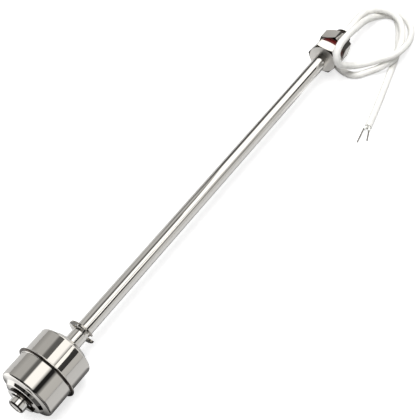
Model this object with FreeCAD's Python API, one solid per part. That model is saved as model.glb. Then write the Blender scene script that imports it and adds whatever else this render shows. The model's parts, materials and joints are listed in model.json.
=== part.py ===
"""Float level switch: a stem tube with a reed switch inside, a float with a ring magnet
that slides on it between two E-clips, and a hex head with an M10 neck, washer and lock nut.

Millimetres. Every piece is modelled in the stem's own frame: +X along the stem from its tip,
y and z radial. lay() then puts the switch down as it rests on a flat surface: the weld lip of
its float lies on the surface and its head lies on the cable, which passes once under the nut.
+X is still along the stem and z = 0 is the surface.
"""
import FreeCAD, Part
import math
import os

V = FreeCAD.Vector

# ---- stem -------------------------------------------------------------------------------
STEM_D = 8.0            # outside diameter of the stem tube
STEM_WALL = 1.0
STEM_LEN = 262.0        # from the tip to the underside of the head
TIP_CHAMFER = 0.6
PLUG_LEN = 3.0          # plug welded in the tip
PLUG_RECESS = 0.3

# ---- head -------------------------------------------------------------------------------
HEX_AF = 17.0           # across flats
HEX_T = 6.5
HEX_ROLL = 0.0          # turn about the stem, degrees; 0 has a flat down
SOCKET_DEPTH = 5.0      # the stem tube is welded this deep into the head
NECK_D = 10.0           # M10
NECK_LEN = 18.3
NECK_BORE = 6.4
NECK_CHAMFER = 0.9
HEX_CHAMFER_DEG = 25.0
BEVEL_START = 0.98      # diameter where the bevel of a hexagon starts, over its flats

# ---- washer and lock nut ----------------------------------------------------------------
WASHER_D = 15.6
WASHER_T = 3.4
THREAD_CLEARANCE = 0.05  # radial, between the neck and what is threaded over it
NUT_AF = 17.0
NUT_T = 8.0
NUT_ROLL = -24.0
NUT_CHAMFER_DEG = 30.0
NUT_LEAD = 0.6          # countersink of the nut's thread at each end

# ---- E-clips (DIN 6799, size 7) -----------------------------------------------------------
CLIP_OD = STEM_D + 6.3
CLIP_T = 0.9
CLIP_GROOVE_D = STEM_D - 1.0
CLIP_SLOT = CLIP_GROOVE_D - 1.16  # opening between the two front lugs
CLIP_ID = STEM_D + 2.6  # inside of the outer rim
CLIP_LUG = 3.0          # width of the rear lug
CLIP_TIP = 1.6          # rim left outside each front lug
CLIP_PLAY = 0.05        # axial play of a clip in its groove, each side
CLIP_OPENING_DEG = 180.0  # the opening faces -Y
LOWER_CLIP_S = 3.6      # near face of the lower clip, from the tip

# ---- float ------------------------------------------------------------------------------
FLOAT_D = 28.0
FLOAT_WALL = 0.3
FLOAT_SIDE_LEN = 27.0   # straight side, rim to rim
FLOAT_CONE_H = 2.4      # rise of each coned end, hub over rim
FLOAT_HUB_D = 13.2
FLOAT_RIM_R = 1.4       # rounding of the rim
LIP_D = 31.2            # weld lip round the middle
LIP_T = 1.2             # both halves together
LIP_R = 0.25
FLOAT_BORE_CLEARANCE = 0.3  # radial, float bore to stem
CORE_WALL = 0.3
FLOAT_TRAVEL = 8.0
FLOAT_PLAY = 0.1        # gap to a clip at each end of the travel

# ---- ring magnet ------------------------------------------------------------------------
MAGNET_D = 15.0
MAGNET_LEN = 8.0
MAGNET_GAP = 0.1        # radial, magnet and spacers to the core tube
SPACER_WALL = 0.8

# ---- reed switch and wires inside the stem -----------------------------------------------
SLEEVE_CLEARANCE = 0.15  # radial, sleeve to the stem's bore
SLEEVE_WALL = 0.25
SLEEVE_BORE = STEM_D - 2 * (STEM_WALL + SLEEVE_CLEARANCE + SLEEVE_WALL)
REED_SHARE = min(1.0, SLEEVE_BORE / 5.2)  # a smaller switch and wires in a slimmer stem
REED_D = 2.2 * REED_SHARE
REED_LEN = 14.0
REED_WALL = 0.3 * REED_SHARE
REED_S = 26.0           # middle of the glass, from the tip
REED_Z = REED_D / 2     # height of the glass over the stem's axis
LEAD_D = 0.5
LEAD_OUT = 5.0          # bare lead beyond the glass
BLADE_W = 1.2 * REED_SHARE
BLADE_T = 0.25
BLADE_OVERLAP = 1.0
BLADE_GAP = 0.1
BLADE_NECK = 0.8        # side of the square where a lead flattens, over its diameter
WIRE_D = 1.25 * REED_SHARE
WIRE_LOW_Z = -1.4 * REED_SHARE
JOINT_D = 1.7 * REED_SHARE
JOINT_LEN = 4.0
JOINT_WEB = 0.6         # width of the solder between lead and wire, over JOINT_D
SEAL_LEN = 2.0          # glass sealed round each lead

# ---- cable ------------------------------------------------------------------------------
CABLE_D = 4.2
CABLE_ROOT_LEN = 12.0   # sheath held in the neck's potting
POTTING_LEN = 17.0
CORE_D = 1.4
CORE_LEN = 2.6
CONDUCTOR_D = 0.8
CONDUCTOR_LEN = (6.2, 9.4)
CONDUCTOR_TIP = 0.15    # gap between a conductor's tip and the surface
CORE_SPREAD = 1.6       # distance between the cores where they leave the sheath

# Route of the cable, from the middle of the neck's end: x along the stem, y across it, z over
# the surface. It loops over and under itself beside the head and passes once under the nut.
CABLE_ROUTE = [
    (15.5, 0.8, 12.2), (23.4, 2.0, 9.9), (30.8, 1.9, 8.4), (37.0, -0.6, 7.7), (41.4, -5.2, 7.0),
    (42.8, -10.5, 6.6), (41.6, -15.8, 6.6), (38.0, -20.3, 6.6), (32.7, -24.1, 6.6),
    (27.0, -26.9, 6.6), (21.5, -28.6, 6.6), (16.4, -29.9, 6.6), (12.6, -31.0, 6.6),
    (6.4, -31.5, 6.6), (1.8, -29.5, 5.9), (-2.8, -26.2, 3.6), (-5.7, -22.9, 2.1),
    (-11.7, -19.7, 2.1), (-14.7, -16.1, 2.1), (-15.2, -11.5, 2.1), (-13.9, -6.7, 2.1),
    (-10.7, -1.8, 2.1), (-4.6, 1.8, 2.1), (3.6, 3.0, 2.1), (12.6, 4.0, 2.1), (21.7, 5.4, 2.1),
    (31.2, 5.9, 2.1), (39.9, 4.1, 2.1), (46.2, -0.7, 2.1), (49.8, -7.2, 2.1), (50.4, -14.1, 2.1),
    (47.5, -20.9, 2.1), (42.9, -25.9, 2.1), (35.9, -29.4, 3.4), (26.2, -32.2, 7.0),
    (16.2, -33.3, 10.2), (8.8, -32.8, 11.7), (4.1, -30.7, 11.2), (0.9, -27.3, 9.9),
    (-1.9, -23.3, 7.4), (-5.5, -19.6, 6.4), (-9.9, -16.6, 6.8), (-15.3, -14.4, 9.4),
    (-20.6, -12.9, 13.3), (-25.0, -11.4, 16.2), (-27.0, -9.7, 20.8), (-24.8, -8.1, 25.0),
    (-19.8, -7.3, 26.8), (-13.4, -7.0, 26.2), (-7.8, -6.5, 24.4), (0.6, -5.7, 21.2),
    (9.0, -4.8, 17.4), (18.4, -3.5, 13.0), (27.2, -3.1, 8.5), (34.8, -3.5, 4.5),
    (40.2, -4.9, 2.5), (43.6, -7.3, 2.1), (45.4, -10.9, 2.1), (44.9, -14.6, 2.1),
    (41.7, -17.3, 2.1), (37.3, -20.3, 2.1), (32.5, -22.8, 2.1), (27.3, -25.3, 2.1),
    (22.1, -27.6, 2.1), (16.7, -29.5, 2.1), (11.1, -31.1, 2.1), (5.8, -32.5, 2.1),
    (0.7, -33.6, 2.1), (-7.8, -35.6, 2.1), (-17.8, -37.9, 2.1), (-27.2, -40.0, 2.1),
    (-36.6, -42.0, 2.1), (-44.7, -43.5, 2.1),
]
CABLE_EXIT_RUN = 7.5    # straight out of the neck
CORE_TURN = (13.0, -24.0)   # turn of each core from the cable's line, degrees, from above
CONDUCTOR_TURN = (10.0, -2.0)


# ---- forms ------------------------------------------------------------------------------
def outline(points):
    """Closed wire in the x-z plane (x along the stem, z = radius); a third value rounds."""
    n = len(points)
    edges, start, first = [], None, None
    for i, p in enumerate(points):
        here = V(p[0], 0, p[1])
        r = p[2] if len(p) > 2 else 0.0
        if r:
            a = V(points[i - 1][0], 0, points[i - 1][1]) - here
            b = V(points[(i + 1) % n][0], 0, points[(i + 1) % n][1]) - here
            a.normalize()
            b.normalize()
            half = a.getAngle(b) / 2
            back = r / math.tan(half)
            bis = (a + b).normalize()
            centre = here + bis * (r / math.sin(half))
            p0, p1, mid = here + a * back, here + b * back, centre - bis * r
        else:
            p0 = p1 = here
        if start is not None and (p0 - start).Length > 1e-6:
            edges.append(Part.makeLine(start, p0))
        if r:
            edges.append(Part.Arc(p0, mid, p1).toShape())
        first = p0 if first is None else first
        start = p1
    if (start - first).Length > 1e-6:
        edges.append(Part.makeLine(start, first))
    return Part.Wire(edges)


def turned(points):
    """Solid of revolution about the stem's axis."""
    return Part.Face(outline(points)).revolve(V(0, 0, 0), V(1, 0, 0), 360)


def rod(s, length, d, y=0.0, z=0.0):
    return Part.makeCylinder(d / 2, length, V(s, y, z), V(1, 0, 0))


def tube(s, length, d, bore, y=0.0, z=0.0):
    return rod(s, length, d, y, z).cut(rod(s - 1, length + 2, bore, y, z))


def hexagon(s, length, af, roll, bevel_deg, bevel_low, bevel_high):
    """Hexagonal prism with a flat down at roll 0, its ends bevelled by a cone."""
    corner = af / math.sqrt(3)
    pts = []
    for k in range(7):
        g = math.radians(60 * k + roll)
        pts.append(V(s, corner * math.cos(g), corner * math.sin(g)))
    prism = Part.Face(Part.makePolygon(pts)).extrude(V(length, 0, 0))
    big, face = corner + 1, af / 2 * BEVEL_START
    drop = (big - face) * math.tan(math.radians(bevel_deg))
    profile = [(s, 0), (s, face), (s + drop, big), (s + length - drop, big),
               (s + length, face), (s + length, 0)]
    if not bevel_low:
        profile[1:3] = [(s, big)]
    if not bevel_high:
        profile[-3:-1] = [(s + length, big)]
    return prism.common(turned(profile))


# ---- stem -------------------------------------------------------------------------------
STEM_BORE = STEM_D - 2 * STEM_WALL
FLOAT_LEN = FLOAT_SIDE_LEN + 2 * FLOAT_CONE_H
FLOAT_S = LOWER_CLIP_S + CLIP_T + FLOAT_PLAY
UPPER_CLIP_S = FLOAT_S + FLOAT_LEN + FLOAT_TRAVEL + FLOAT_PLAY
HEAD_S = STEM_LEN
WASHER_S = HEAD_S + HEX_T
NUT_S = WASHER_S + WASHER_T
NECK_END = WASHER_S + NECK_LEN


def stem_tube():
    body = turned([(0, STEM_BORE / 2), (0, STEM_D / 2 - TIP_CHAMFER),
                   (TIP_CHAMFER, STEM_D / 2), (STEM_LEN + SOCKET_DEPTH, STEM_D / 2),
                   (STEM_LEN + SOCKET_DEPTH, STEM_BORE / 2)])
    for s in (LOWER_CLIP_S, UPPER_CLIP_S):
        body = body.cut(tube(s - CLIP_PLAY, CLIP_T + 2 * CLIP_PLAY, STEM_D + 2, CLIP_GROOVE_D))
    return body


def stem_plug():
    return rod(PLUG_RECESS, PLUG_LEN, STEM_BORE)


def e_clip(s):
    """Rim with one rear and two front lugs that bear on the groove, and a front slot."""
    rim = tube(s, CLIP_T, CLIP_OD, CLIP_ID)
    disc = rod(s, CLIP_T, CLIP_OD - 0.4)
    rear = Part.makeBox(CLIP_T, CLIP_OD, CLIP_LUG, V(s, -CLIP_OD, -CLIP_LUG / 2))
    lug_h = (CLIP_OD - CLIP_SLOT) / 2 - CLIP_TIP
    lugs = rear
    for side in (1, -1):
        z0 = CLIP_SLOT / 2 if side > 0 else -CLIP_SLOT / 2 - lug_h
        lugs = lugs.fuse(Part.makeBox(CLIP_T, CLIP_OD, lug_h, V(s, 1.0, z0)))
    body = rim.fuse(lugs.common(disc))
    body = body.cut(rod(s - 1, CLIP_T + 2, CLIP_GROOVE_D))
    body = body.cut(Part.makeBox(CLIP_T + 2, CLIP_OD, CLIP_SLOT, V(s - 1, 0, -CLIP_SLOT / 2)))
    body = body.removeSplitter()
    body.rotate(V(0, 0, 0), V(1, 0, 0), CLIP_OPENING_DEG)
    return body


# ---- head, washer and nut -----------------------------------------------------------------
def head_fitting():
    neck = turned([(WASHER_S, 0), (WASHER_S, NECK_D / 2), (NECK_END - NECK_CHAMFER, NECK_D / 2),
                   (NECK_END, NECK_D / 2 - NECK_CHAMFER), (NECK_END, 0)])
    body = hexagon(HEAD_S, HEX_T, HEX_AF, HEX_ROLL, HEX_CHAMFER_DEG, True, True).fuse(neck)
    body = body.cut(rod(HEAD_S - 1, SOCKET_DEPTH + 1, STEM_D))
    body = body.cut(rod(HEAD_S, NECK_LEN + HEX_T + 1, NECK_BORE))
    return body.removeSplitter()


def seal_washer():
    return tube(WASHER_S, WASHER_T, WASHER_D, NECK_D + 2 * THREAD_CLEARANCE)


def lock_nut():
    bore = NECK_D + 2 * THREAD_CLEARANCE
    lead = bore / 2 + NUT_LEAD
    body = hexagon(NUT_S, NUT_T, NUT_AF, NUT_ROLL, NUT_CHAMFER_DEG, True, True)
    return body.cut(turned([(NUT_S, 0), (NUT_S, lead), (NUT_S + NUT_LEAD, bore / 2),
                            (NUT_S + NUT_T - NUT_LEAD, bore / 2), (NUT_S + NUT_T, lead),
                            (NUT_S + NUT_T, 0)]))


# ---- float --------------------------------------------------------------------------------
CORE_BORE = STEM_D + 2 * FLOAT_BORE_CLEARANCE
CORE_D_OUT = CORE_BORE + 2 * CORE_WALL


def float_half():
    """Deep-drawn half of the float from its hub (x = 0) to the weld plane, open inside."""
    mid = FLOAT_LEN / 2
    r, hub, t = FLOAT_D / 2, FLOAT_HUB_D / 2, FLOAT_WALL
    # the coned end, offset inwards by the wall
    run, rise = FLOAT_CONE_H, r - hub
    slope = math.hypot(run, rise)
    nx, nr = rise / slope * t, -run / slope * t
    hub_in = hub + nr + (t - nx) * rise / run
    rim_in = nx + (r - t - hub - nr) * run / rise
    return turned([
        (0, CORE_D_OUT / 2), (0, hub, 0.4), (run, r, FLOAT_RIM_R),
        (mid - LIP_T / 2, r), (mid - LIP_T / 2, LIP_D / 2, LIP_R), (mid, LIP_D / 2),
        (mid, r - t), (rim_in, r - t, FLOAT_RIM_R - t), (t, hub_in), (t, CORE_D_OUT / 2)])


def float_lower_shell():
    half = float_half()
    half.translate(V(FLOAT_S, 0, 0))
    return half


def float_upper_shell():
    half = float_half()
    half.rotate(V(0, 0, 0), V(0, 0, 1), 180)
    half.translate(V(FLOAT_S + FLOAT_LEN, 0, 0))
    return half


def float_core_tube():
    return tube(FLOAT_S, FLOAT_LEN, CORE_D_OUT, CORE_BORE)


MAGNET_BORE = CORE_D_OUT + 2 * MAGNET_GAP
MAGNET_S = FLOAT_S + (FLOAT_LEN - MAGNET_LEN) / 2


def magnet_ring():
    c = 0.4
    return turned([(MAGNET_S, MAGNET_BORE / 2), (MAGNET_S, MAGNET_D / 2 - c),
                   (MAGNET_S + c, MAGNET_D / 2), (MAGNET_S + MAGNET_LEN - c, MAGNET_D / 2),
                   (MAGNET_S + MAGNET_LEN, MAGNET_D / 2 - c),
                   (MAGNET_S + MAGNET_LEN, MAGNET_BORE / 2)])


def magnet_spacer(lower):
    near = FLOAT_S + FLOAT_WALL if lower else MAGNET_S + MAGNET_LEN
    far = MAGNET_S if lower else FLOAT_S + FLOAT_LEN - FLOAT_WALL
    return tube(near, far - near, MAGNET_BORE + 2 * SPACER_WALL, MAGNET_BORE)


# ---- reed switch and wires ------------------------------------------------------------------
GLASS_S = REED_S - REED_LEN / 2
JOINT_S = {"lower": GLASS_S - LEAD_OUT, "upper": GLASS_S + REED_LEN + LEAD_OUT - JOINT_LEN}
ROOT_S = NECK_END - CABLE_ROOT_LEN


def reed_glass():
    """Glass capsule with domed ends, hollow between the two seals."""
    r, end = REED_D / 2, GLASS_S + REED_LEN
    cap = turned([(GLASS_S, 0), (GLASS_S, r, r * 0.7), (end, r, r * 0.7), (end, 0)])
    cap = cap.cut(rod(GLASS_S + SEAL_LEN, REED_LEN - 2 * SEAL_LEN, REED_D - 2 * REED_WALL))
    cap = cap.cut(rod(GLASS_S - 1, REED_LEN + 2, LEAD_D))
    cap.translate(V(0, 0, REED_Z))
    return cap


def reed_blade(lower):
    """Round lead through the seal, flattened to a blade inside; the two lap with a gap."""
    side = 1 if lower else -1
    start = LEAD_OUT + SEAL_LEN
    lead = rod(0, start, LEAD_D)
    reach = REED_LEN / 2 - SEAL_LEN + BLADE_OVERLAP / 2
    z0 = -BLADE_GAP / 2 - BLADE_T if lower else BLADE_GAP / 2
    blade = Part.makeBox(reach, BLADE_W, BLADE_T, V(start, -BLADE_W / 2, z0))
    side_len, half = BLADE_NECK * LEAD_D, BLADE_NECK * LEAD_D / 2
    neck = Part.makeBox(2 * half, side_len, side_len, V(start - half, -half, -half))
    both = lead.fuse(neck).fuse(blade)
    if not lower:
        both.rotate(V(0, 0, 0), V(0, 0, 1), 180)
    both.translate(V(REED_S - side * (REED_LEN / 2 + LEAD_OUT), 0, REED_Z))
    return both.removeSplitter()


def lead_joint(lower):
    """Solder joint: in line with the upper wire, and across to the wire that turns back."""
    s = JOINT_S["lower" if lower else "upper"]
    body = rod(s, JOINT_LEN, JOINT_D, 0, REED_Z)
    if lower:
        web = JOINT_WEB * JOINT_D
        body = body.fuse(rod(s, JOINT_LEN, JOINT_D, 0, WIRE_LOW_Z))
        body = body.fuse(Part.makeBox(JOINT_LEN, web, REED_Z - WIRE_LOW_Z,
                                      V(s, -web / 2, WIRE_LOW_Z)))
    return body.cut(reed_blade(lower)).removeSplitter()


def wire(lower):
    z = WIRE_LOW_Z if lower else REED_Z
    s = JOINT_S["lower" if lower else "upper"] + JOINT_LEN
    return rod(s, ROOT_S - s, WIRE_D, 0, z)


def reed_sleeve():
    s = JOINT_S["lower"] - 1.0
    end = JOINT_S["upper"] + JOINT_LEN + 1.0
    outside = STEM_BORE - 2 * SLEEVE_CLEARANCE
    return tube(s, end - s, outside, outside - 2 * SLEEVE_WALL)


def neck_potting():
    """Resin that closes the neck, round the cable's sheath and over the two wires."""
    body = rod(NECK_END - POTTING_LEN, POTTING_LEN, NECK_BORE)
    for cutter in (wire(True), wire(False), rod(ROOT_S, CABLE_ROOT_LEN + 1, CABLE_D)):
        body = body.cut(cutter)
    return body


def cable_root():
    return rod(ROOT_S, CABLE_ROOT_LEN, CABLE_D)


# ---- how it lies ------------------------------------------------------------------------------
# The weld lip of the float is on the surface, and the lowest corner of the nut on the cable.
CABLE_SEAT = 0.1        # gap left between that corner and the cable
REST_S = NUT_S + NUT_T * 0.9
LIP_S = FLOAT_S + FLOAT_LEN / 2 + LIP_T / 2 - LIP_R
_off = (NUT_ROLL + 30) % 60 - 30
NUT_LOW = NUT_AF / math.sqrt(3) * math.cos(math.radians(30 - abs(_off)))
_m = LIP_D / 2 - LIP_R - NUT_LOW - CABLE_D - CABLE_SEAT
_d = REST_S - LIP_S
TILT = math.atan2(_m, _d) + math.asin(LIP_R / math.hypot(_m, _d))
AXIS_Z = LIP_R + (LIP_D / 2 - LIP_R) * math.cos(TILT) + LIP_S * math.sin(TILT)


def lay(shape):
    """From the stem's frame to the resting pose, tip over x = 0, surface at z = 0."""
    out = shape.copy()
    out.rotate(V(0, 0, 0), V(0, 1, 0), math.degrees(TILT))
    out.translate(V(0, 0, AXIS_Z))
    return out


def at(s, r=0.0):
    """Point on (or r over) the stem's axis, in the resting pose."""
    return V(s * math.cos(TILT) + r * math.sin(TILT), 0,
             AXIS_Z - s * math.sin(TILT) + r * math.cos(TILT))


# ---- cable on the surface -----------------------------------------------------------------------
def cable_points():
    start = at(NECK_END)
    out = [start, at(NECK_END + CABLE_EXIT_RUN)]
    return out + [V(start.x + x, y, z) for x, y, z in CABLE_ROUTE]


def bend_path(pts):
    """Straight runs joined by tangent arcs; returns the edges and the arcs' radii."""
    edges, radii, start = [], [], pts[0]
    for a, b, c in zip(pts, pts[1:], pts[2:]):
        u, w = b - a, c - b
        run = min(u.Length, w.Length)
        turn = u.getAngle(w)
        u.normalize()
        w.normalize()
        back = 0.45 * run
        r = back / math.tan(turn / 2)
        inward = (w - u).normalize()
        mid = b + inward * (r / math.cos(turn / 2) - r)
        edges.append(Part.makeLine(start, b - u * back))
        edges.append(Part.Arc(b - u * back, mid, b + w * back).toShape())
        start = b + w * back
        radii.append(r)
    edges.append(Part.makeLine(start, pts[-1]))
    return edges, radii


def cable():
    pts = cable_points()
    edges, radii = bend_path(pts)
    path = Part.Wire(edges)
    profile = Part.Wire(Part.makeCircle(CABLE_D / 2, pts[0], (pts[1] - pts[0]).normalize()))
    body = path.makePipeShell([profile], True, False)
    want = math.pi * CABLE_D ** 2 / 4 * path.Length
    print("cable length %.1f, radii %s" % (path.Length, " ".join("%.1f" % r for r in radii)))
    print("cable volume %.1f, section x length %.1f" % (body.Volume, want))
    return body


def bare_ends(side):
    """One insulated core and its bare conductor, on the surface where the sheath stops."""
    pts = cable_points()
    along = (pts[-1] - pts[-2]).normalize()
    across = V(-along.y, along.x, 0)
    which = 0 if side > 0 else 1

    def turned_by(degrees):
        return FreeCAD.Rotation(V(0, 0, 1), degrees).multVec(along)

    way = turned_by(CORE_TURN[which])
    start = pts[-1] + across * (side * CORE_SPREAD / 2)
    core = Part.makeCylinder(CORE_D / 2, CORE_LEN + CORE_D, start - way * CORE_D, way)
    face = Part.makeBox(20, 20, 20, V(0, -10, -10))       # the side past the sheath's end
    face.Placement = FreeCAD.Placement(pts[-1], FreeCAD.Rotation(V(1, 0, 0), along))
    core = core.common(face)
    # the conductor droops until its tip is just over the surface
    length = CONDUCTOR_LEN[which]
    drop = pts[-1].z - CONDUCTOR_D / 2 - CONDUCTOR_TIP
    bare = turned_by(CONDUCTOR_TURN[which]) * math.sqrt(length ** 2 - drop ** 2) - V(0, 0, drop)
    back = bare * (CONDUCTOR_D / length)
    conductor = Part.makeCylinder(CONDUCTOR_D / 2, length + CONDUCTOR_D,
                                  start + way * CORE_LEN - back, bare)
    tip = Part.makeBox(20, 20, 20, V(0, -10, -10))        # the side past the core's end
    tip.Placement = FreeCAD.Placement(start + way * CORE_LEN,
                                      FreeCAD.Rotation(V(1, 0, 0), way))
    return core, conductor.common(tip)


NODES = {
    "stem_tube": stem_tube, "stem_plug": stem_plug,
    "head_fitting": head_fitting, "seal_washer": seal_washer, "lock_nut": lock_nut,
    "lower_clip": lambda: e_clip(LOWER_CLIP_S), "upper_clip": lambda: e_clip(UPPER_CLIP_S),
    "float_lower_shell": float_lower_shell, "float_upper_shell": float_upper_shell,
    "float_core_tube": float_core_tube, "magnet_ring": magnet_ring,
    "magnet_spacer_lower": lambda: magnet_spacer(True),
    "magnet_spacer_upper": lambda: magnet_spacer(False),
    "reed_glass": reed_glass, "reed_blade_lower": lambda: reed_blade(True),
    "reed_blade_upper": lambda: reed_blade(False),
    "lead_joint_lower": lambda: lead_joint(True),
    "lead_joint_upper": lambda: lead_joint(False),
    "reed_sleeve": reed_sleeve, "wire_lower": lambda: wire(True),
    "wire_upper": lambda: wire(False), "neck_potting": neck_potting,
    "cable_root": cable_root,
}
ON_SURFACE = {
    "cable": cable,
    "core_a": lambda: bare_ends(1)[0], "core_b": lambda: bare_ends(-1)[0],
    "conductor_a": lambda: bare_ends(1)[1], "conductor_b": lambda: bare_ends(-1)[1],
}


def main():
    os.makedirs("parts", exist_ok=True)
    made = {name: lay(make()) for name, make in NODES.items()}
    # the origin goes under the middle of the switch itself, cable aside
    low = min(s.BoundBox.XMin for s in made.values())
    high = max(s.BoundBox.XMax for s in made.values())
    middle = V(-(low + high) / 2, 0, 0)
    made.update({name: make() for name, make in ON_SURFACE.items()})
    for name, shape in made.items():
        shape.translate(middle)
        shape.exportStep("parts/%s.step" % name)
    print("tilt %.4f deg, origin %.4f from the tip" % (math.degrees(TILT), -middle.x))
    exit_p = at(NECK_END) + middle
    print("exit %.4f %.4f %.4f" % tuple(exit_p))


main()
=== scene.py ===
"""Float level switch, laid on its side: stem and float, hex head, washer, nut and cable."""
import bpy, bmesh, math
from mathutils import Matrix, Vector
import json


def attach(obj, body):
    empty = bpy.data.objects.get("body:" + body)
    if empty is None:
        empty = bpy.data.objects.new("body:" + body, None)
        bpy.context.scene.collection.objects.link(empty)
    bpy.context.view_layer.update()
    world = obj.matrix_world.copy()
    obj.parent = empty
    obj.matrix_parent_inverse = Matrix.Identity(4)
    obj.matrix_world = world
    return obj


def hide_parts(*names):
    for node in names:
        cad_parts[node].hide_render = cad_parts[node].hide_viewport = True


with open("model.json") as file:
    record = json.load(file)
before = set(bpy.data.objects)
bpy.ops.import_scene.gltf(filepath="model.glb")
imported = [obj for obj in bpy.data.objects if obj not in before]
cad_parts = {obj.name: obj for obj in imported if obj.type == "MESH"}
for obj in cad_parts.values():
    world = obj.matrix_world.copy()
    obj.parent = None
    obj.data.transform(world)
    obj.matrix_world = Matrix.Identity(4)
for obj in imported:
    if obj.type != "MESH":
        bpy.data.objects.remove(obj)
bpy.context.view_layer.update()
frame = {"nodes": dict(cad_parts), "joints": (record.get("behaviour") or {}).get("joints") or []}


# ---- camera ------------------------------------------------------------------------------
# Looks down on the whole switch from the float's end, with the float at the lower left and the
# cable at the upper right.
def mm(*v):
    """Millimetres to metres, as one vector."""
    return Vector(v) * 0.001


camera_place = mm(-214.58, -147.21, 367.15)
camera_data = bpy.data.cameras.new("camera")
camera_data.sensor_width = 36.0
camera_data.lens = 72.87
camera_data.clip_start = 0.01
camera = bpy.data.objects.new("camera", camera_data)
bpy.context.scene.collection.objects.link(camera)
look = Vector((0.47929, 0.32162, -0.81661)).normalized()
right = Vector((0.57203, -0.82013, 0.01274))
right = (right - look * right.dot(look)).normalized()
up = right.cross(look)
camera.matrix_world = (Matrix.Translation(camera_place)
                       @ Matrix((right, up, -look)).transposed().to_4x4())
bpy.context.scene.camera = camera


# ---- cable -------------------------------------------------------------------------------
# Round two-core signal cable, 4.2 mm, with a soft white PVC sheath. It leaves the middle of the
# neck, lies in loose loops beside the head, once under the nut, and its free end is stripped.
neck_end = mm(143.395, 0, 14.015)
# the CAD's route in mm: along from the neck's end, across, and above the table
cable_route = [
    (0, 0, 14.015), (7.5, 0, 13.97), (15.5, 0.8, 12.2), (23.4, 2, 9.9), (30.8, 1.9, 8.4),
    (37, -0.6, 7.7), (41.4, -5.2, 7), (42.8, -10.5, 6.6), (41.6, -15.8, 6.6), (38, -20.3, 6.6),
    (32.7, -24.1, 6.6), (27, -26.9, 6.6), (21.5, -28.6, 6.6), (16.4, -29.9, 6.6),
    (12.6, -31, 6.6), (6.4, -31.5, 6.6), (1.8, -29.5, 5.9), (-2.8, -26.2, 3.6),
    (-5.7, -22.9, 2.1), (-11.7, -19.7, 2.1), (-14.7, -16.1, 2.1), (-15.2, -11.5, 2.1),
    (-13.9, -6.7, 2.1), (-10.7, -1.8, 2.1), (-4.6, 1.8, 2.1), (3.6, 3, 2.1), (12.6, 4, 2.1),
    (21.7, 5.4, 2.1), (31.2, 5.9, 2.1), (39.9, 4.1, 2.1), (46.2, -0.7, 2.1), (49.8, -7.2, 2.1),
    (50.4, -14.1, 2.1), (47.5, -20.9, 2.1), (42.9, -25.9, 2.1), (35.9, -29.4, 3.4),
    (26.2, -32.2, 7), (16.2, -33.3, 10.2), (8.8, -32.8, 11.7), (4.1, -30.7, 11.2),
    (0.9, -27.3, 9.9), (-1.9, -23.3, 7.4), (-5.5, -19.6, 6.4), (-9.9, -16.6, 6.8),
    (-15.3, -14.4, 9.4), (-20.6, -12.9, 13.3), (-25, -11.4, 16.2), (-27, -9.7, 20.8),
    (-24.8, -8.1, 25), (-19.8, -7.3, 26.8), (-13.4, -7, 26.2), (-7.8, -6.5, 24.4),
    (0.6, -5.7, 21.2), (9, -4.8, 17.4), (18.4, -3.5, 13), (27.2, -3.1, 8.5), (34.8, -3.5, 4.5),
    (40.2, -4.9, 2.5), (43.6, -7.3, 2.1), (45.4, -10.9, 2.1), (44.9, -14.6, 2.1),
    (41.7, -17.3, 2.1), (37.3, -20.3, 2.1), (32.5, -22.8, 2.1), (27.3, -25.3, 2.1),
    (22.1, -27.6, 2.1), (16.7, -29.5, 2.1), (11.1, -31.1, 2.1), (5.8, -32.5, 2.1),
    (0.7, -33.6, 2.1), (-7.8, -35.6, 2.1), (-17.8, -37.9, 2.1), (-27.2, -40, 2.1),
    (-36.6, -42, 2.1), (-44.7, -43.5, 2.1),
]
curve = bpy.data.curves.new("cable_line", "CURVE")
curve.dimensions = "3D"
line = curve.splines.new("NURBS")
line.points.add(len(cable_route) - 1)
for point, (x, y, z) in zip(line.points, cable_route):
    point.co = (neck_end.x + x / 1000, y / 1000, z / 1000, 1.0)
line.order_u = 3
line.use_endpoint_u = True
line.resolution_u = 12
curve.bevel_depth = 0.0021
curve.bevel_resolution = 8
curve.use_fill_caps = True
cable = bpy.data.objects.new("cable_sheath", curve)
bpy.context.scene.collection.objects.link(cable)


def srgb(code):
    """sRGB hex to the linear colour that a socket takes."""
    part = [int(code[i:i + 2], 16) / 255 for i in (0, 2, 4)]
    return [c / 12.92 if c <= 0.04045 else ((c + 0.055) / 1.055) ** 2.4 for c in part] + [1.0]


def node(tree, kind, settings=(), links=()):
    """Adds one node: settings are (socket or property, value), links (socket, source)."""
    made = tree.nodes.new(kind)
    for key, value in settings:
        if isinstance(key, str) and hasattr(made, key):
            setattr(made, key, value)
        else:
            made.inputs[key].default_value = value
    for key, source in links:
        tree.links.new(source, made.inputs[key])
    return made


def finish_of(name):
    """A new material with its Principled shader and its output joined."""
    material = bpy.data.materials.new(name)
    material.use_nodes = True
    return material, material.node_tree, material.node_tree.nodes["Principled BSDF"]


pvc, tree, shader = finish_of("white PVC cable sheath, extruded")
# soft extruded PVC: off-white, a dull sheen, and a faint waviness along the cable
place = node(tree, "ShaderNodeTexCoord")
wave = node(tree, "ShaderNodeTexNoise", [("Scale", 220.0), ("Detail", 3.0), ("Roughness", 0.5)],
            [("Vector", place.outputs["Object"])])
tint = node(tree, "ShaderNodeValToRGB", (), [("Fac", wave.outputs["Fac"])])
tint.color_ramp.elements[0].position = 0.3
tint.color_ramp.elements[0].color = srgb("ECEBE6")
tint.color_ramp.elements[1].position = 0.7
tint.color_ramp.elements[1].color = srgb("F6F5F1")
ripple = node(tree, "ShaderNodeBump", [("Strength", 0.25), ("Distance", 0.00008)],
              [("Height", wave.outputs["Fac"])])
tree.links.new(tint.outputs["Color"], shader.inputs["Base Color"])
tree.links.new(ripple.outputs["Normal"], shader.inputs["Normal"])
shader.inputs["Roughness"].default_value = 0.38
shader.inputs["IOR"].default_value = 1.53
curve.materials.append(pvc)
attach(cable, "stem")
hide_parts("cable")


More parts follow.
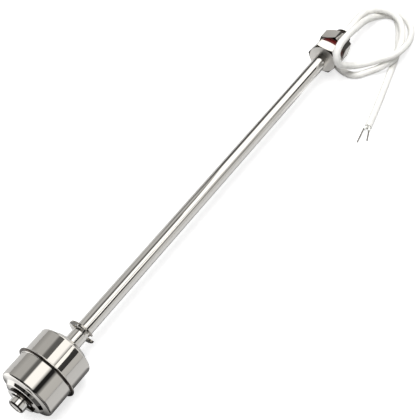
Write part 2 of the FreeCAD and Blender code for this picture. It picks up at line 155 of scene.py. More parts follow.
# ---- cores and bare conductors -----------------------------------------------------------
# At the free end the sheath is cut back from two insulated cores, and the cores from their
# tinned copper conductors, which splay and lie with their tips on the surface.
core_pvc, tree, shader = finish_of("white PVC core insulation, extruded")
# thin smooth insulation, a little glossier and whiter than the sheath
place = node(tree, "ShaderNodeTexCoord")
grain = node(tree, "ShaderNodeTexNoise", [("Scale", 900.0), ("Detail", 2.0)],
             [("Vector", place.outputs["Object"])])
skin = node(tree, "ShaderNodeBump", [("Strength", 0.2), ("Distance", 0.00003)],
            [("Height", grain.outputs["Fac"])])
tree.links.new(skin.outputs["Normal"], shader.inputs["Normal"])
shader.inputs["Base Color"].default_value = srgb("EFEFEA")
shader.inputs["Roughness"].default_value = 0.35
for name in ("core_a", "core_b", "wire_lower", "wire_upper"):
    frame["nodes"][name].data.materials.clear()
    frame["nodes"][name].data.materials.append(core_pvc)

tinned, tree, shader = finish_of("tinned copper, drawn and twisted")
# bright tin over copper: silver grey with fine bright lines along the twist
place = node(tree, "ShaderNodeTexCoord")
lay_lines = node(tree, "ShaderNodeTexWave", [("Scale", 900.0), ("Distortion", 2.0),
                 ("bands_direction", "DIAGONAL")], [("Vector", place.outputs["Object"])])
strand = node(tree, "ShaderNodeBump", [("Strength", 0.6), ("Distance", 0.00008)],
              [("Height", lay_lines.outputs["Fac"])])
tree.links.new(strand.outputs["Normal"], shader.inputs["Normal"])
shader.inputs["Base Color"].default_value = srgb("96928C")
shader.inputs["Metallic"].default_value = 1.0
shader.inputs["Roughness"].default_value = 0.28
for name in ("conductor_a", "conductor_b"):
    frame["nodes"][name].data.materials.clear()
    frame["nodes"][name].data.materials.append(tinned)


# ---- stem tube ---------------------------------------------------------------------------
# 8 mm seamless stainless tube with a chamfered tip, polished. Two turned grooves hold the
# clips. The stem is laid as in the CAD: its tip and its slope come from there.
tip_place = mm(-143.3995, 0, 15.724)
slope = math.atan2(-frame["joints"][0]["axis"][2], frame["joints"][0]["axis"][0])
stem_place = Matrix.Translation(tip_place) @ Matrix.Rotation(slope, 4, "Y")


def turned(name, stations, sides=128):
    """A circle at the first (length, radius), extruded and scaled through the others, in mm."""
    bpy.ops.object.select_all(action="DESELECT")
    s, r = stations[0]
    bpy.ops.mesh.primitive_circle_add(vertices=sides, radius=r / 1000,
                                      location=(s / 1000, 0, 0), rotation=(0, math.pi / 2, 0))
    piece = bpy.context.object
    piece.name = name
    bpy.ops.object.transform_apply(location=True, rotation=True, scale=True)
    bpy.ops.object.mode_set(mode="EDIT")
    bpy.ops.mesh.select_all(action="SELECT")
    for (s0, r0), (s1, r1) in zip(stations, stations[1:]):
        bpy.ops.mesh.extrude_region_move(
            TRANSFORM_OT_translate={"value": ((s1 - s0) / 1000, 0, 0)})
        if r1 != r0:
            bpy.ops.transform.resize(value=(1, r1 / r0, r1 / r0), center_override=(s1 / 1000, 0, 0))
    bpy.ops.mesh.select_all(action="DESELECT")
    bpy.ops.mesh.select_non_manifold()
    bpy.ops.mesh.bridge_edge_loops()
    bpy.ops.mesh.select_all(action="SELECT")
    bpy.ops.mesh.normals_make_consistent(inside=False)
    bpy.ops.object.mode_set(mode="OBJECT")
    return piece


def round_ring(piece, s, r, offset, segments=5):
    """Bevels the ring of edges at one length and radius, in mm."""
    bpy.ops.object.mode_set(mode="EDIT")
    bpy.ops.mesh.select_mode(type="EDGE")
    bpy.ops.mesh.select_all(action="DESELECT")
    bm = bmesh.from_edit_mesh(piece.data)
    for edge in bm.edges:
        edge.select = all(abs(v.co.x * 1000 - s) < 0.002
                          and abs(math.hypot(v.co.y, v.co.z) * 1000 - r) < 0.01
                          for v in edge.verts)
    bmesh.update_edit_mesh(piece.data)
    bpy.ops.mesh.bevel(offset=offset / 1000, segments=segments, profile=0.5)
    bpy.ops.object.mode_set(mode="OBJECT")


def seat(piece, material, slot, *nodes, body="stem", angle=35):
    """Lays a finished piece along the stem, joins it to its body and hides the CAD nodes it stands
    for.
    """
    bpy.ops.object.select_all(action="DESELECT")
    piece.select_set(True)
    bpy.context.view_layer.objects.active = piece
    bpy.ops.object.shade_smooth_by_angle(angle=math.radians(angle))
    piece.matrix_world = stem_place @ piece.matrix_world
    bpy.ops.object.transform_apply(location=True, rotation=True, scale=True)
    piece.data.materials.clear()
    piece.data.materials.append(material)
    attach(piece, body)
    if nodes:
        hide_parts(*nodes)


def polished(name, colour, roughness, haze, scale, stretch):
    """Polished steel: fine lines, scale of them in a metre, drawn out by stretch, under haze."""
    material, tree, shader = finish_of(name)
    place = node(tree, "ShaderNodeTexCoord")
    turn = node(tree, "ShaderNodeMapping", [("Scale", stretch)],
                [("Vector", place.outputs["Object"])])
    lines = node(tree, "ShaderNodeTexNoise", [("Scale", scale), ("Detail", 4.0)],
                 [("Vector", turn.outputs["Vector"])])
    cloud = node(tree, "ShaderNodeTexNoise", [("Scale", 60.0), ("Detail", 2.0)],
                 [("Vector", place.outputs["Object"])])
    both = node(tree, "ShaderNodeMix", [("data_type", "FLOAT"), (0, 0.5)],
                [(2, lines.outputs["Fac"]), (3, cloud.outputs["Fac"])])
    rough = node(tree, "ShaderNodeMapRange", [("From Min", 0.3), ("From Max", 0.7),
                 ("To Min", roughness), ("To Max", roughness + haze)],
                 [("Value", both.outputs[0])])
    scratch = node(tree, "ShaderNodeBump", [("Strength", 0.05), ("Distance", 0.00002)],
                   [("Height", lines.outputs["Fac"])])
    tree.links.new(rough.outputs["Result"], shader.inputs["Roughness"])
    tree.links.new(scratch.outputs["Normal"], shader.inputs["Normal"])
    shader.inputs["Base Color"].default_value = srgb(colour)
    shader.inputs["Metallic"].default_value = 1.0
    return material


# drawn and polished tube: a near mirror, its faint lines run along it
tube_steel = polished("stainless steel 304, drawn tube, polished", "EAE8E4", 0.03, 0.04,
                      1400.0, (0.05, 1.0, 1.0))
tube_r, bore_r, groove_r = 4.0, 3.0, 3.5
tube_len, tip = 267.0, 0.6
clip_grooves = (3.6, 44.5)
groove_low, groove_high = -0.05, 0.95
stations = [(0, bore_r), (0, tube_r - tip), (tip, tube_r)]
for s in clip_grooves:
    stations += [(s + groove_low, tube_r), (s + groove_low, groove_r),
                 (s + groove_high, groove_r), (s + groove_high, tube_r)]
stations += [(tube_len, tube_r), (tube_len, bore_r)]
stem = turned("stem_tube_polished", stations)
round_ring(stem, 0, tube_r - tip, 0.15, 3)
round_ring(stem, tip, tube_r, 0.2, 3)
seat(stem, tube_steel, "stainless_steel", "stem_tube")
# the tip's chamfer is painted dark: a painted dark reflection at the cut end
tip_painted_dark_steel = polished("stainless steel, cut end, painted dark reflection", "3F3A36", 0.15, 0.15, 700.0,
                     (1.0, 1.0, 1.0))
stem.data.materials.append(tip_painted_dark_steel)
for face in stem.data.polygons:
    at = stem_place.inverted() @ face.center * 1000
    face.material_index = int(at.x < tip * 1.02 and math.hypot(at.y, at.z) > bore_r + 0.02)


# ---- plug in the tip ---------------------------------------------------------------------
# A small disc pressed and welded into the tip, with the weld's low ring round it.
plug_steel = polished("stainless steel 304, welded and polished over", "D2CFCA", 0.14, 0.16,
                      700.0, (1.0, 1.0, 1.0))
plug_depth, weld_top = 3.3, 0.22
axis_r = 0.01                # where a solid piece's profile ends, almost on its axis
plug = turned("tip_plug", [(plug_depth, axis_r), (plug_depth, bore_r), (0.45, bore_r),
                           (0.3, 2.75), (weld_top, 2.5), (0.3, 2.2), (0.34, 1.2),
                           (0.35, axis_r)], sides=64)
seat(plug, plug_steel, "stainless_steel", "stem_plug")


# ---- float -------------------------------------------------------------------------------
# Two halves deep-drawn from thin stainless sheet, each with a dished and stepped end, a rounded
# rim and a flange. The flanges are seam-welded into a lip round the middle; the lip's lower half
# is painted dark as painted shade. A thin tube lines the bore and slides on the stem.

# deep drawn and polished: nearly a mirror, its faint lines run round the float
float_steel = polished("stainless steel 316L, deep drawn, polished", "DCD9D4", 0.02, 0.04,
                       900.0, (1.0, 0.06, 0.06))
lip_painted_shade_steel = polished("stainless steel, weld lip, painted shade", "57504A", 0.15, 0.15,
                      900.0, (1.0, 1.0, 1.0))
float_start, float_len = 4.6, 31.8
sheet = 0.3
hub_r, dish_r, step_r, body_r, lip_r = 6.6, 9.4, 10.7, 14.0, 15.6
dish_s, step_s, rim_s, lip_s, seam_s = 0.35, 1.85, 2.4, 15.3, 15.88
hole_r, liner_r, slide_r = 4.62, 4.6, 4.3
outside = [(0, hole_r), (0, hub_r), (dish_s, dish_r), (step_s, step_r), (rim_s, body_r),
           (lip_s, body_r), (lip_s, lip_r), (seam_s, lip_r)]
inside = [(seam_s, body_r - sheet), (2.62, body_r - sheet), (2.15, step_r), (0.65, dish_r),
          (sheet, 6.8), (sheet, hole_r)]
for end, name in ((0, "lower"), (1, "upper")):
    shell = turned("float_shell_" + name, outside + inside, sides=192)
    round_ring(shell, 0, hub_r, 0.45, 5)
    round_ring(shell, dish_s, dish_r, 0.3, 5)
    round_ring(shell, step_s, step_r, 0.2, 5)
    round_ring(shell, rim_s, body_r, 1.0, 10)
    round_ring(shell, lip_s, body_r, 0.35, 4)
    round_ring(shell, lip_s, lip_r, 0.5, 6)
    if end:
        shell.matrix_world = Matrix.Rotation(math.pi, 4, "Z")
        shell.matrix_world.translation = mm(float_start + float_len, 0, 0)
    else:
        shell.matrix_world.translation = mm(float_start, 0, 0)
    seat(shell, float_steel, "stainless_steel", "float_%s_shell" % name, body="float", angle=30)
    if not end:
        # the lip's lower half is painted dark: painted shade in the weld lip's groove
        shell.data.materials.append(lip_painted_shade_steel)
        painted_shade_s, painted_shade_r = float_start + 15.2, 14.3
        for face in shell.data.polygons:
            at = stem_place.inverted() @ face.center * 1000
            face.material_index = int(at.x > painted_shade_s and math.hypot(at.y, at.z) > painted_shade_r)
liner = turned("float_bore_liner", [(float_start, slide_r), (float_start, liner_r),
                                    (float_start + float_len, liner_r),
                                    (float_start + float_len, slide_r)], sides=96)
seat(liner, float_steel, "stainless_steel", "float_core_tube", body="float")


# ---- clips -------------------------------------------------------------------------------
# E-clips stamped from spring steel and nickel plated, pressed sideways into the stem's grooves.
# Their stamped outline is a copy of the CAD's. The face toward the tip is bright, and edges and
# back are painted darker as painted shade, nearly black on the lower clip.
clip_steel = polished("spring steel, stamped and nickel plated", "FAF8F4", 0.02, 0.04,
                      800.0, (1.0, 1.0, 1.0))
clip_painted_dark_back = polished("spring steel, edge and back painted dark as shade", "3A3633", 0.2, 0.2,
                     800.0, (1.0, 1.0, 1.0))
clip_painted_grey_back = polished("spring steel, edge and back painted grey as shade", "B4B0AA", 0.06, 0.1,
                       800.0, (1.0, 1.0, 1.0))
for name, rim in (("lower_clip", clip_painted_dark_back), ("upper_clip", clip_painted_grey_back)):
    bpy.ops.object.select_all(action="DESELECT")
    stamped = frame["nodes"][name]
    clip = bpy.data.objects.new(name + "_plated", stamped.data.copy())
    bpy.context.scene.collection.objects.link(clip)
    clip.matrix_world = stamped.matrix_world
    clip.select_set(True)
    bpy.context.view_layer.objects.active = clip
    bpy.ops.object.transform_apply(location=True, rotation=True, scale=True)
    bpy.ops.object.shade_smooth_by_angle(angle=math.radians(25))
    clip.data.materials.clear()
    clip.data.materials.append(clip_steel)
    clip.data.materials.append(rim)
    # faces toward the tip keep the bright plating; all others take the painted shade
    for face in clip.data.polygons:
        face.material_index = 0 if face.normal.x < -0.6 else 1
    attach(clip, "stem")
    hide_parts(name)


# ---- head fitting ------------------------------------------------------------------------
# Turned from 17 mm hexagon bar: a hexagon with bevelled corners, and an M10 neck, bored for the
# cable. The stem tube is welded into its underside.

# turned and polished: a little softer than the tube
bar_steel = polished("stainless steel 304, hexagon bar, turned and polished", "E6E3DE", 0.03,
                     0.05, 1100.0, (0.3, 1.0, 1.0))


def cut_with(piece, cutter, how):
    """Cuts a piece with a closed cutter, or keeps what both hold, and removes the cutter."""
    bpy.ops.object.select_all(action="DESELECT")
    piece.select_set(True)
    bpy.context.view_layer.objects.active = piece
    cut = piece.modifiers.new("cut", "BOOLEAN")
    cut.operation, cut.solver, cut.object = how, "EXACT", cutter
    bpy.ops.object.modifier_apply(modifier="cut")
    bpy.data.objects.remove(cutter)


def hexagon(name, s, length, across, roll, cone, bore, lead):
    """A bored hexagon, its corners bevelled at both ends by a cone, in mm and degrees.

    One corner is turned by the roll from the table's level.
    """
    corner = across / math.sqrt(3)
    bpy.ops.object.select_all(action="DESELECT")
    bpy.ops.mesh.primitive_cylinder_add(
        vertices=6, radius=corner / 1000, depth=length / 1000,
        location=((s + length / 2) / 1000, 0, 0), rotation=(0, math.pi / 2, 0))
    prism = bpy.context.object
    prism.name = name
    bpy.ops.object.transform_apply(location=True, rotation=True, scale=True)
    first = max(prism.data.vertices, key=lambda v: v.co.y).co
    turn = math.radians(roll) - math.atan2(first.z, first.y)
    prism.data.transform(Matrix.Rotation(turn, 4, "X"))
    # the bevel leaves a round face just inside the flats, and its cone runs out past the corners
    over, face_r, clear_r = 0.01, across / 2 * 0.98, corner + 1.0
    drop = (clear_r - face_r) * math.tan(math.radians(cone))
    cut_with(prism, turned(name + "_cone", [
        (s - over, axis_r), (s - over, face_r), (s + drop, clear_r),
        (s + length - drop, clear_r), (s + length + over, face_r),
        (s + length + over, axis_r)]), "INTERSECT")
    over = 0.02
    cut_with(prism, turned(name + "_bore", [
        (s - over, axis_r), (s - over, bore / 2 + lead), (s + lead, bore / 2),
        (s + length - lead, bore / 2), (s + length + over, bore / 2 + lead),
        (s + length + over, axis_r)]), "DIFFERENCE")
    bevel = prism.modifiers.new("edge", "BEVEL")
    bevel.width = 0.00022
    bevel.segments = 2
    bevel.limit_method = "ANGLE"
    bevel.angle_limit = math.radians(20)
    bpy.ops.object.modifier_apply(modifier="edge")
    return prism


# painted dark: stands in for shade and dark reflections on edges, bevels and the neck
painted_dark_edge_steel = polished("stainless steel 304, edges painted dark as shade", "4C4844", 0.12, 0.15, 700.0,
                      (1.0, 1.0, 1.0))
turned_steel = polished("stainless steel 304, faced on the lathe", "D4D1CC", 0.28, 0.16, 500.0,
                        (1.0, 1.0, 1.0))
small_face = 1.2e-6          # square metres: less than this is an edge's narrow bevel


def paint_edges_dark(piece, bevel_s):
    """Edges, and the bevel from that length on, painted dark as painted shade and dark reflection;
    a turned face toward the float.
    """
    piece.data.materials.append(painted_dark_edge_steel)
    piece.data.materials.append(turned_steel)
    for face in piece.data.polygons:
        radial = math.hypot(face.normal.y, face.normal.z)
        at = stem_place.inverted() @ face.center * 1000
        if face.normal.x < -0.97 and at.x < bevel_s - 1:
            face.material_index = 2
        # narrow edge bevels and the far bevel: painted dark as painted shade and dark reflection
        elif face.area < small_face and 0.02 < radial or (0.2 < radial < 0.97 and at.x > bevel_s):
            face.material_index = 1


hex_across, head_start, head_len, head_bevel_s = 17.0, 262.0, 6.5, 267.6
head = hexagon("head_hexagon", head_start, head_len, hex_across, 0, 25.0, tube_r * 2, 0.01)


def thread(name, start, end, crest, root, pitch):
    """A 60 degree thread from one length to another, wound by a Screw modifier, in mm."""
    bpy.ops.object.select_all(action="DESELECT")
    flat_c, flat_r = pitch / 8, pitch / 4
    flank = (pitch - flat_c - flat_r) / 2
    profile = [(0, root), (flat_r, root), (flat_r + flank, crest),
               (flat_r + flank + flat_c, crest), (pitch, root)]
    mesh = bpy.data.meshes.new(name)
    mesh.from_pydata([mm(start - pitch + a, 0, b) for a, b in profile],
                     [(i, i + 1) for i in range(len(profile) - 1)], [])
    piece = bpy.data.objects.new(name, mesh)
    bpy.context.scene.collection.objects.link(piece)
    piece.select_set(True)
    bpy.context.view_layer.objects.active = piece
    wind = piece.modifiers.new("wind", "SCREW")
    wind.axis, wind.screw_offset = "X", pitch / 1000
    wind.iterations = int((end - start) / pitch) + 3
    wind.steps = wind.render_steps = 72
    wind.use_merge_vertices = True
    wind.merge_threshold = 1e-6
    bpy.ops.object.modifier_apply(modifier="wind")
    bpy.ops.object.mode_set(mode="EDIT")
    for s, side in ((start, -1), (end, 1)):
        bpy.ops.mesh.select_all(action="SELECT")
        bpy.ops.mesh.bisect(plane_co=(s / 1000, 0, 0), plane_no=(side, 0, 0),
                            clear_outer=True, use_fill=True)
    bpy.ops.mesh.select_all(action="SELECT")
    bpy.ops.mesh.normals_make_consistent(inside=False)
    bpy.ops.object.mode_set(mode="OBJECT")
    return piece


neck_start, neck_tip, neck_bore_r = 268.5, 286.8, 3.2
crest_r, root_r, pitch = 4.97, 4.15, 1.5
bevel_start, bevel_r = 285.6, 3.95
past_start, past_tip, past_crest = neck_start - 0.1, neck_tip + 0.1, 6.0
neck = thread("neck_thread", neck_start, neck_tip, crest_r, root_r, pitch)
cut_with(neck, turned("neck_cone", [
    (past_start, axis_r), (past_start, past_crest), (bevel_start, past_crest),
    (past_tip, bevel_r), (past_tip, axis_r)]), "INTERSECT")
cut_with(neck, turned("neck_bore", [
    (268.0, axis_r), (268.0, neck_bore_r), (287.2, neck_bore_r), (287.2, axis_r)]),
    "DIFFERENCE")
seat(head, bar_steel, "stainless_steel", "head_fitting", angle=20)
paint_edges_dark(head, head_bevel_s)
# the thread is painted dark all over: painted shade
seat(neck, painted_dark_edge_steel, "stainless_steel", "head_fitting", angle=30)


# ---- sealing washer ----------------------------------------------------------------------
# Moulded red silicone, soft and matt, squeezed between the head and the nut so it bulges. Its red
# is darkened nearly to black as painted shade in the gap.
silicone, tree, shader = finish_of("red silicone rubber, moulded, darkened as painted shade")
place = node(tree, "ShaderNodeTexCoord")
bloom = node(tree, "ShaderNodeTexNoise", [("Scale", 350.0), ("Detail", 3.0)],
             [("Vector", place.outputs["Object"])])
# near-black reds: the silicone's red darkened as painted shade
shade = node(tree, "ShaderNodeValToRGB", (), [("Fac", bloom.outputs["Fac"])])
shade.color_ramp.elements[0].position = 0.3
shade.color_ramp.elements[0].color = srgb("4A0908")
shade.color_ramp.elements[1].position = 0.7
shade.color_ramp.elements[1].color = srgb("5E0F0C")
tree.links.new(shade.outputs["Color"], shader.inputs["Base Color"])
shader.inputs["Roughness"].default_value = 0.5
shader.inputs["IOR"].default_value = 1.41
washer_low, washer_mid, washer_high, washer_hole = 268.52, 270.2, 271.88, 5.05
washer = turned("washer_red", [(washer_low, washer_hole), (washer_low, 7.45), (269.2, 7.72),
                               (washer_mid, 7.8), (271.2, 7.72), (washer_high, 7.45),
                               (washer_high, washer_hole)], sides=96)
seat(washer, silicone, "red_silicone", "seal_washer", angle=60)


# ---- lock nut ----------------------------------------------------------------------------
# M10 hexagon nut, 17 mm across and 8 mm thick, turned and polished, bevelled on both faces.
nut_start, nut_len, nut_bore, nut_roll, nut_bevel_s = 271.9, 8.0, 10.1, -24.0, 278.6
nut = hexagon("lock_nut_polished", nut_start, nut_len, hex_across, nut_roll, 30.0, nut_bore, 0.6)
seat(nut, bar_steel, "stainless_steel", "lock_nut", angle=20)
paint_edges_dark(nut, nut_bevel_s)


# ---- potting and sealed inner pieces -----------------------------------------------------
# The neck is filled with black resin round the cable. The magnet, reed switch, its sleeve and
# joints are sealed inside the float and the stem.
resin, tree, shader = finish_of("epoxy resin, black, poured")
place = node(tree, "ShaderNodeTexCoord")
level = node(tree, "ShaderNodeTexNoise", [("Scale", 400.0)],
             [("Vector", place.outputs["Object"])])
pool = node(tree, "ShaderNodeBump", [("Strength", 0.3), ("Distance", 0.0001)],
            [("Height", level.outputs["Fac"])])
tree.links.new(pool.outputs["Normal"], shader.inputs["Normal"])
shader.inputs["Base Color"].default_value = srgb("161616")
shader.inputs["Roughness"].default_value = 0.25
shader.inputs["IOR"].default_value = 1.55
inner = {"neck_potting": resin, "cable_root": pvc, "reed_sleeve": resin, "magnet_ring": resin,
         "magnet_spacer_lower": resin, "magnet_spacer_upper": resin,
         "lead_joint_lower": tinned, "lead_joint_upper": tinned,
         "reed_blade_lower": tinned, "reed_blade_upper": tinned, "reed_glass": core_pvc}
for name, material in inner.items():
    frame["nodes"][name].data.materials.clear()
    frame["nodes"][name].data.materials.append(material)


# ---- floor -------------------------------------------------------------------------------
# A plain matt sheet of pale paper, which keeps the switch's shadow. Seen in polished faces it has
# painted light in front of the float's end and before the head, painted shadow close under the
# steel.
bpy.ops.object.select_all(action="DESELECT")
bpy.ops.mesh.primitive_plane_add(size=6.0, location=(0, 0, 0))
floor = bpy.context.object
floor.name = "floor"
paper, tree, shader = finish_of("floor, matt paper")
ray = node(tree, "ShaderNodeLightPath")
spot = node(tree, "ShaderNodeTexCoord")
along = node(tree, "ShaderNodeSeparateXYZ", (), [(0, spot.outputs["Object"])])

# to the camera the paper is nearly white
lift = node(tree, "ShaderNodeMath", [("operation", "MULTIPLY"), (1, 0.68)],
            [(0, ray.outputs["Is Camera Ray"])])

# painted light, seen only in reflections: brighter in front of the float's end, from its middle to
# the far side
front = node(tree, "ShaderNodeMapRange", [("From Min", -0.139), ("From Max", -0.147),
             ("To Min", 0.0), ("To Max", 1.0)], [("Value", along.outputs["X"])])
side = node(tree, "ShaderNodeMapRange", [("From Min", -0.01), ("From Max", 0.006),
            ("To Min", 0.2), ("To Max", 0.7)], [("Value", along.outputs["Y"])])
painted_light_patch = node(tree, "ShaderNodeMath", [("operation", "MULTIPLY")],
             [(0, side.outputs["Result"]), (1, front.outputs["Result"])])
past_corner = node(tree, "ShaderNodeMath", [("operation", "GREATER_THAN"), (1, -0.0145)],
                   [(0, along.outputs["Y"])])
painted_float_light = node(tree, "ShaderNodeMath", [("operation", "MULTIPLY")],
               [(0, past_corner.outputs[0]), (1, painted_light_patch.outputs[0])])

# painted light, seen only in reflections: a little brighter before the head, where its turned face
# mirrors the floor
by_head = node(tree, "ShaderNodeMath", [("operation", "COMPARE"), (1, 0.107), (2, 0.009)],
               [(0, along.outputs["X"])])
painted_head_light = node(tree, "ShaderNodeMath", [("operation", "MULTIPLY"), (1, 0.3)],
                 [(0, by_head.outputs[0])])
painted_light_sum = node(tree, "ShaderNodeMath", [("operation", "ADD")],
                [(0, painted_float_light.outputs[0]), (1, painted_head_light.outputs[0])])
mirrored_painted_light = node(tree, "ShaderNodeMath", [("operation", "MULTIPLY")],
                     [(0, ray.outputs["Is Glossy Ray"]), (1, painted_light_sum.outputs[0])])
glow = node(tree, "ShaderNodeMath", [("operation", "ADD")],
            [(0, lift.outputs[0]), (1, mirrored_painted_light.outputs[0])])

# painted shadow, seen only in reflections: darker in a strip close under the stem, and in a wider
# one under the float
far_y = node(tree, "ShaderNodeMath", [("operation", "ABSOLUTE")], [(0, along.outputs["Y"])])
at_float = node(tree, "ShaderNodeMath", [("operation", "LESS_THAN"), (1, -0.105)],
                [(0, along.outputs["X"])])
wide = node(tree, "ShaderNodeMath", [("operation", "MULTIPLY"), (1, 0.014)],
            [(0, at_float.outputs[0])])
at_head = node(tree, "ShaderNodeMath", [("operation", "GREATER_THAN"), (1, 0.1)],
               [(0, along.outputs["X"])])
past = node(tree, "ShaderNodeMath", [("operation", "SUBTRACT")],
            [(0, at_head.outputs[0]), (1, wide.outputs[0])])
off_line = node(tree, "ShaderNodeMath", [("operation", "ADD")],
                [(0, far_y.outputs[0]), (1, past.outputs[0])])
under = node(tree, "ShaderNodeMapRange", [("From Min", 0.006), ("From Max", 0.013),
             ("To Min", 0.3), ("To Max", 1.0)], [("Value", off_line.outputs[0])])
strip = node(tree, "ShaderNodeMix", [("data_type", "FLOAT"), (2, 1.0)],
             [(0, ray.outputs["Is Glossy Ray"]), (3, under.outputs["Result"])])

# and painted shadow, seen only in reflections, at the near corner in front of the float's end
near_y = node(tree, "ShaderNodeMapRange", [("From Min", -0.0135), ("From Max", -0.0155),
              ("To Min", 0.0), ("To Max", 0.85)], [("Value", along.outputs["Y"])])
corner = node(tree, "ShaderNodeMath", [("operation", "MULTIPLY")],
              [(0, near_y.outputs["Result"]), (1, front.outputs["Result"])])
mirrored_painted_shadow = node(tree, "ShaderNodeMath", [("operation", "MULTIPLY")],
                       [(0, corner.outputs[0]), (1, ray.outputs["Is Glossy Ray"])])
painted_shadow_tone = node(tree, "ShaderNodeMath", [("operation", "SUBTRACT")],
             [(0, strip.outputs[0]), (1, mirrored_painted_shadow.outputs[0])])
paper_with_painted_shadow = node(tree, "ShaderNodeMath", [("operation", "MULTIPLY"), (1, 0.55)],
                  [(0, painted_shadow_tone.outputs[0])])
tree.links.new(paper_with_painted_shadow.outputs[0], shader.inputs["Base Color"])
tree.links.new(glow.outputs[0], shader.inputs["Emission Strength"])
shader.inputs["Emission Color"].default_value = (1, 1, 1, 1)
shader.inputs["Roughness"].default_value = 1.0
shader.inputs["Specular IOR Level"].default_value = 0.0
floor.data.materials.append(paper)


# ---- reflecting cards --------------------------------------------------------------------
# White, grey and black cards round the table, where a studio tent's screens would hang. They glow,
# and
# only polished faces see them: painted reflections that give the round steel its sharp light and
# dark bands.
def hang_card(name, strength, corners):
    """A flat card glowing warm white at that strength, a painted reflection seen only by polished
    faces; its corners are in mm.
    """
    card_mesh = bpy.data.meshes.new(name)
    card_mesh.from_pydata([mm(*corner) for corner in corners], [],
                          [tuple(range(len(corners)))])
    card = bpy.data.objects.new(name, card_mesh)
    bpy.context.scene.collection.objects.link(card)
    card_glow, tree, shader = finish_of(name + ", cloth")
    shader.inputs["Base Color"].default_value = (0, 0, 0, 1)
    shader.inputs["Emission Color"].default_value = (1, 0.985, 0.955, 1)
    shader.inputs["Emission Strength"].default_value = strength
    card_mesh.materials.append(card_glow)
    card.visible_camera = card.visible_diffuse = card.visible_shadow = False


# overhead: a white reflector from the stem's middle to past the head, and a dark screen just
# below its height, nearer the float
overhead_z = 500
hang_card("overhead_reflector", 1.4, [
    (x, y, overhead_z) for x, y in ((200, 0), (306, 190), (414, 428), (700, 428), (700, -250),
                                    (200, -250))])
hang_card("overhead_screen", 0.12, [
    (x, y, overhead_z - 1) for x, y in ((65, 60), (65, 200), (250, 200), (235, 60))])

# at the far side: grey beside the stem, nearly black beside the head
far_side_y = 500
hang_card("far_screen", 0.24, [
    (x, far_side_y, z) for x, z in ((225, 30), (225, 300), (328, 360), (328, 30))])
hang_card("far_end_screen", 0.07, [
    (x, far_side_y, z) for x, z in ((328, 30), (328, 360), (400, 440), (660, 440), (660, 250),
                                    (600, 225), (585, 30))])

# at the near side: white above, and black to grey below it
near_side_y = -300
high_row, low_row, end_row = (330, 520), (160, 310), (150, 310)
for name, strength, start, end, (low, high) in (
        ("white_card", 1.4, 60, 255, high_row), ("pale_card", 0.65, 255, 440, high_row),
        ("black_card", 0.02, 10, 85, low_row), ("dark_card", 0.1, 85, 112, low_row),
        ("grey_card", 0.28, 112, 290, low_row), ("end_card", 0.02, 440, 600, end_row)):
    hang_card(name, strength, [(start, near_side_y, low), (start, near_side_y, high),
                               (end, near_side_y, high), (end, near_side_y, low)])


# ---- studio walls and lamp ---------------------------------------------------------------
# The tent's walls run in bands along the table, and polished steel mirrors them. To the camera
# they are plain white, and matt surfaces get an even light from them and from one soft box above.
world = bpy.data.worlds.new("studio")
bpy.context.scene.world = world
world.use_nodes = True
tree = world.node_tree
tree.nodes.clear()
view = node(tree, "ShaderNodeTexCoord")
xyz = node(tree, "ShaderNodeSeparateXYZ", (), [(0, view.outputs["Generated"])])

# each band's edge: its angle round the stem, 0 straight up and 90 toward the near side, and the
# strength there
bands = [(-90, 0.42), (-80, 0.42), (-62, 0.54), (-36, 0.54), (-28, 0.17), (-17, 0.15),
         (-12, 1.4), (19, 1.4), (27, 0.6), (31, 0.02), (44, 0.02), (51, 0.32), (57, 0.66),
         (90, 0.62)]
to_near = node(tree, "ShaderNodeMath", [("operation", "MULTIPLY"), (1, -1.0)],
               [(0, xyz.outputs["Y"])])
round_x = node(tree, "ShaderNodeMath", [("operation", "ARCTAN2")],
               [(0, to_near.outputs[0]), (1, xyz.outputs["Z"])])
turn = node(tree, "ShaderNodeMapRange", [("From Min", -math.pi), ("From Max", math.pi)],
            [("Value", round_x.outputs[0])])
walls = node(tree, "ShaderNodeValToRGB", (), [("Fac", turn.outputs["Result"])])
ramp = walls.color_ramp
while len(ramp.elements) < len(bands):
    ramp.elements.new(0.5)
for element, (angle, strength) in zip(ramp.elements, bands):
    element.position = (angle + 180) / 360
    element.color = (strength, strength * 0.985, strength * 0.955, 1)

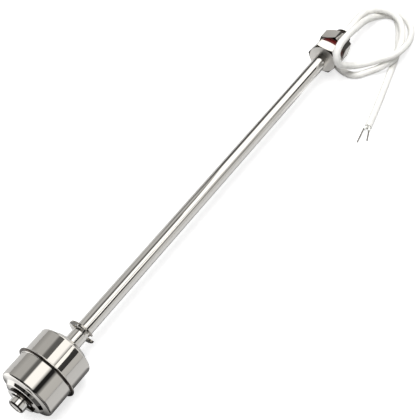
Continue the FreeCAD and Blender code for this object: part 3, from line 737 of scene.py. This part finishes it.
# dark past the float's end of the table, less so at the near side, and white past the head
behind = node(tree, "ShaderNodeMapRange", [("From Min", -0.3), ("From Max", -0.1),
              ("To Min", 0.06), ("To Max", 1.0)], [("Value", xyz.outputs["X"])])
open_side = node(tree, "ShaderNodeMapRange", [("From Min", -0.2), ("From Max", -0.4),
                 ("To Min", 0.0), ("To Max", 0.45)], [("Value", xyz.outputs["Y"])])
shade = node(tree, "ShaderNodeMath", [("operation", "MAXIMUM")],
             [(0, behind.outputs["Result"]), (1, open_side.outputs["Result"])])
shaded = node(tree, "ShaderNodeMix", [("data_type", "RGBA"), (6, (0, 0, 0, 1))],
              [(0, shade.outputs[0]), (7, walls.outputs["Color"])])
beyond = node(tree, "ShaderNodeMapRange", [("From Min", 0.68), ("From Max", 0.76)],
              [("Value", xyz.outputs["X"])])
whole = node(tree, "ShaderNodeMix", [("data_type", "RGBA"), (7, (1.1, 1.08, 1.05, 1))],
             [(0, beyond.outputs["Result"]), (6, shaded.outputs[2])])
mirrored = node(tree, "ShaderNodeBackground", (), [("Color", whole.outputs[2])])
even = node(tree, "ShaderNodeBackground", [("Color", (1, 1, 1, 1)), ("Strength", 0.3)])
white = node(tree, "ShaderNodeBackground", [("Color", (1, 1, 1, 1))])
ray = node(tree, "ShaderNodeLightPath")
shiny = node(tree, "ShaderNodeMixShader", (), [(0, ray.outputs["Is Glossy Ray"]),
             (1, even.outputs[0]), (2, mirrored.outputs[0])])
seen = node(tree, "ShaderNodeMixShader", (), [(0, ray.outputs["Is Camera Ray"]),
            (1, shiny.outputs[0]), (2, white.outputs[0])])
node(tree, "ShaderNodeOutputWorld", (), [("Surface", seen.outputs[0])])

lamp = bpy.data.lights.new("soft_box", "AREA")
lamp.shape = "RECTANGLE"
lamp.size, lamp.size_y = 1.2, 0.8
lamp.energy = 18.0
soft_box = bpy.data.objects.new("soft_box", lamp)
soft_box.location = (0.0, 0.1, 1.2)
soft_box.visible_glossy = False
bpy.context.scene.collection.objects.link(soft_box)
bpy.context.scene.view_settings.view_transform = "Standard"
